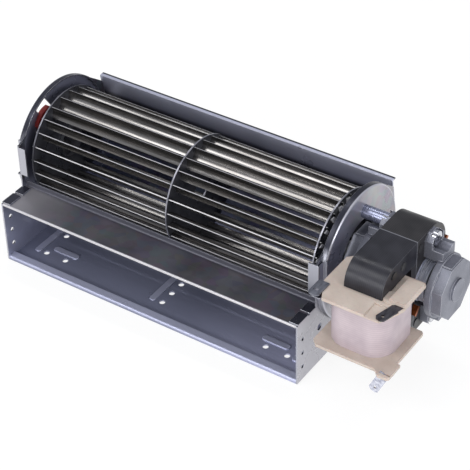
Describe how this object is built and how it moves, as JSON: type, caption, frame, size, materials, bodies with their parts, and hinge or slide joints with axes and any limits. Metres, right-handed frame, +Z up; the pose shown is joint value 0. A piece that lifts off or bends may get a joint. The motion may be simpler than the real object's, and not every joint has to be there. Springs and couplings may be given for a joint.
{
  "type": "cross flow fan",
  "caption": "Cross flow blower: a bladed drum in a folded sheet metal scroll with a wide outlet duct, driven by a shaded pole motor on one end.",
  "frame": {"origin": "on the underside of the floor, below the drum's axis, midway between the end plates", "axes": "+X along the drum towards the motor, -Y out of the outlet, +Z up"},
  "size_m": [0.2558, 0.1018, 0.0864],
  "materials": {
    "housing_sheet": "galvanised, satin",
    "roof_sheet": "galvanised, dull",
    "left_plate_sheet": "galvanised, satin",
    "right_plate_sheet": "galvanised, satin",
    "blade_strip": "bright rolled strip",
    "disc_sheet": "bright zinc plated",
    "turned_steel": "turned",
    "black_steel": "black oxide",
    "ground_steel": "ground",
    "rotor_metal": "turned laminations",
    "fibre": "fibre board",
    "silicone_rubber": "matt",
    "sintered_bronze": "sintered",
    "coil_core_steel": "dark lacquer",
    "pole_core_steel": "dark lacquer",
    "copper": "copper",
    "rivet_steel": "dark",
    "die_casting": "as cast",
    "screw_steel": "bright zinc plated",
    "spacer_steel": "turned",
    "bobbin_nylon": "natural nylon",
    "winding_tape": "polyester tape",
    "dark_terminal": "tarnished tin",
    "bright_terminal": "tin plated"
  },
  "bodies": {
    "housing": {"scroll_sheet": "housing_sheet", "duct_top_plate": "roof_sheet", "left_end_plate": "left_plate_sheet", "right_end_plate": "right_plate_sheet", "rubber_bearing_mount": "silicone_rubber", "idle_bearing": "sintered_bronze", "left_motor_bearing": "sintered_bronze", "right_motor_bearing": "sintered_bronze", "coil_core": "coil_core_steel", "pole_core": "pole_core_steel", "shading_rings": "copper", "stack_rivets": "rivet_steel", "left_bearing_bracket": "die_casting", "right_bearing_bracket": "die_casting", "long_screws": "screw_steel", "motor_spacers": "spacer_steel", "coil_bobbin": "bobbin_nylon", "coil_winding": "winding_tape", "upper_terminal": "dark_terminal", "lower_terminal": "bright_terminal"},
    "impeller": {"impeller_blades": "blade_strip", "left_disc": "disc_sheet", "middle_disc": "disc_sheet", "right_disc": "disc_sheet", "stub_shaft": "turned_steel", "drive_hub": "turned_steel", "grub_screw": "black_steel", "motor_shaft": "ground_steel", "rotor": "rotor_metal", "thrust_washers": "fibre"}
  },
  "joints": [
    {"name": "impeller_spin", "type": "hinge", "parent": "housing", "child": "impeller", "pos_m": [0, 0, 0.0496], "axis": [1, 0, 0], "continuous": true}
  ]
}
